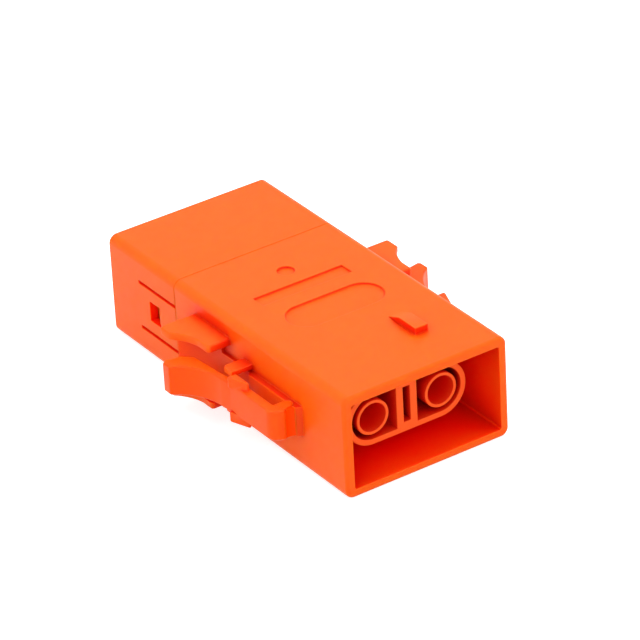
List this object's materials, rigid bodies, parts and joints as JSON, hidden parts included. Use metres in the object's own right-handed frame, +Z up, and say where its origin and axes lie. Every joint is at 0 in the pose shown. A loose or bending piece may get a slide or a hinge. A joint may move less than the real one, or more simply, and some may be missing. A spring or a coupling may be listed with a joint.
{
  "type": "in-line high-voltage power connector plug",
  "caption": "Orange moulded in-line power connector plug: flat rectangular shell with an open mouth, towered contact core, side squeeze latches with guards, clip-on rear cover and wire inlets.",
  "frame": {"origin": "middle of the bottom face's bounding box, on the surface that the plug rests on", "axes": "+Z up, +Y from the open mouth back to the wire inlets, and +X to the right when looking along +Y into the mouth"},
  "size_m": [0.055, 0.0732, 0.0211],
  "materials": {
    "orange_plastic": "satin moulded",
    "carrier_plastic": "fine matt moulded",
    "inner_plastic": "satin moulded",
    "silicone": "matt",
    "plated_copper": "silver-plated, satin",
    "spring_copper": "bright rolled strip"
  },
  "bodies": {
    "housing": {"front_housing": "orange_plastic", "rear_cover": "orange_plastic", "contact_carrier": "carrier_plastic", "contact_lock": "inner_plastic", "interlock_bridge": "plated_copper", "seal_retainer": "inner_plastic", "mating_seal": "silicone", "left_wire_seal": "silicone", "right_wire_seal": "silicone", "left_contact": "plated_copper", "right_contact": "plated_copper", "left_contact_spring": "spring_copper", "right_contact_spring": "spring_copper"},
    "left_latch_arm": {"left_latch": "orange_plastic"},
    "right_latch_arm": {"right_latch": "orange_plastic"}
  },
  "joints": [
    {"name": "left_latch_press", "type": "hinge", "parent": "housing", "child": "left_latch_arm", "pos_m": [-0.0186, -0.0216, 0.0099], "axis": [0, 0, -1], "range_deg": [0, 8], "stiffness_Nm_per_rad": 0.8},
    {"name": "right_latch_press", "type": "hinge", "parent": "housing", "child": "right_latch_arm", "pos_m": [0.0186, -0.0216, 0.0099], "axis": [0, 0, 1], "range_deg": [0, 8], "stiffness_Nm_per_rad": 0.8}
  ]
}
